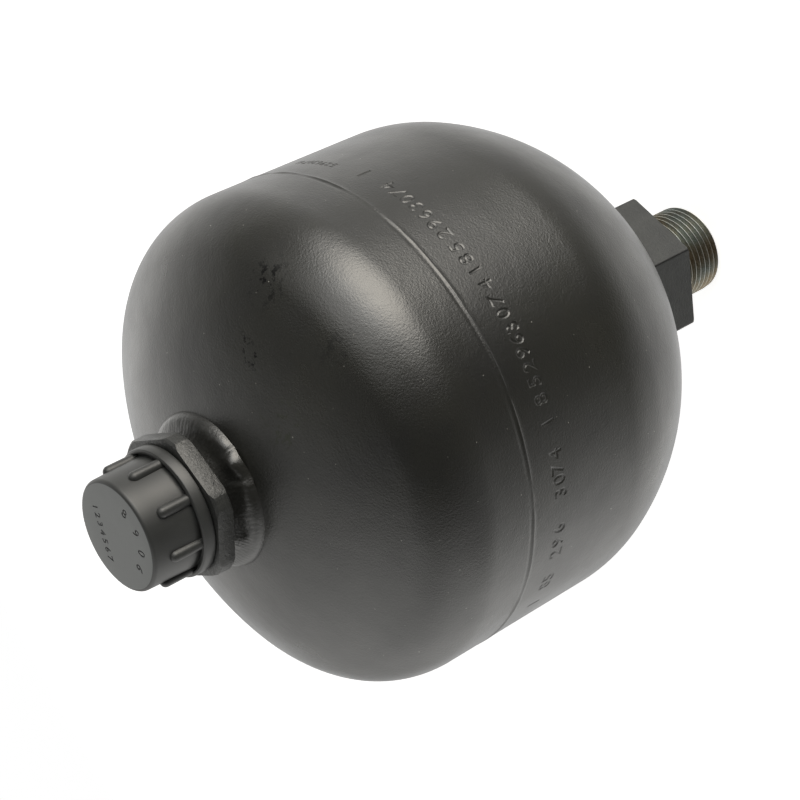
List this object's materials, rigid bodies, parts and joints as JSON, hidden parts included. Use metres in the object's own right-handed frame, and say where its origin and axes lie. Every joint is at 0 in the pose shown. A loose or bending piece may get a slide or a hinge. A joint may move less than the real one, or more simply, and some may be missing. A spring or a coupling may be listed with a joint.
{
  "type": "diaphragm accumulator",
  "caption": "Welded steel hydraulic accumulator: domed pressure vessel with a girth seam, threaded fluid port with hexagon below, hexagon gas boss under a ribbed plastic cap above.",
  "frame": {"origin": "centre of the end face of the fluid port, on the vessel axis", "axes": "+Z along the vessel axis from the fluid port to the gas side; +X square to one flat of the port hexagon"},
  "size_m": [0.1416, 0.1416, 0.2175],
  "materials": {
    "black_paint": "satin, slightly rough",
    "port_steel": "satin black hexagon, bare machined thread",
    "inner_steel": "machined",
    "nbr_rubber": "matt",
    "cap_plastic": "satin moulded"
  },
  "bodies": {
    "vessel": {"fluid_shell": "black_paint", "gas_shell": "black_paint", "girth_weld": "black_paint", "fluid_port": "port_steel", "port_weld": "black_paint", "gas_boss": "black_paint", "boss_weld": "black_paint", "clamping_ring": "inner_steel", "diaphragm": "nbr_rubber"},
    "valve_plate": {"valve_plate": "inner_steel"},
    "screw_seal": {"seal_ring": "inner_steel"},
    "charging_screw": {"charging_screw": "inner_steel"},
    "protective_cap": {"protective_cap": "cap_plastic"}
  },
  "joints": [
    {"name": "plate_lift", "type": "slide", "parent": "vessel", "child": "valve_plate", "axis": [0, 0, 1], "range_m": [0, 0.06], "deforming": ["diaphragm"]},
    {"name": "seal_lift", "type": "slide", "parent": "vessel", "child": "screw_seal", "axis": [0, 0, 1], "range_m": [0, 0.0016]},
    {"name": "screw_turn", "type": "hinge", "parent": "screw_seal", "child": "charging_screw", "pos_m": [0, 0, 0.212], "axis": [0, 0, 1], "range_deg": [0, 360]},
    {"name": "cap_draw", "type": "slide", "parent": "vessel", "child": "protective_cap", "axis": [0, 0, 1], "range_m": [0, 0.016]}
  ],
  "couplings": [
    {"joint": "seal_lift", "follows": "screw_turn", "m_per_rad": 0.00023873}
  ]
}
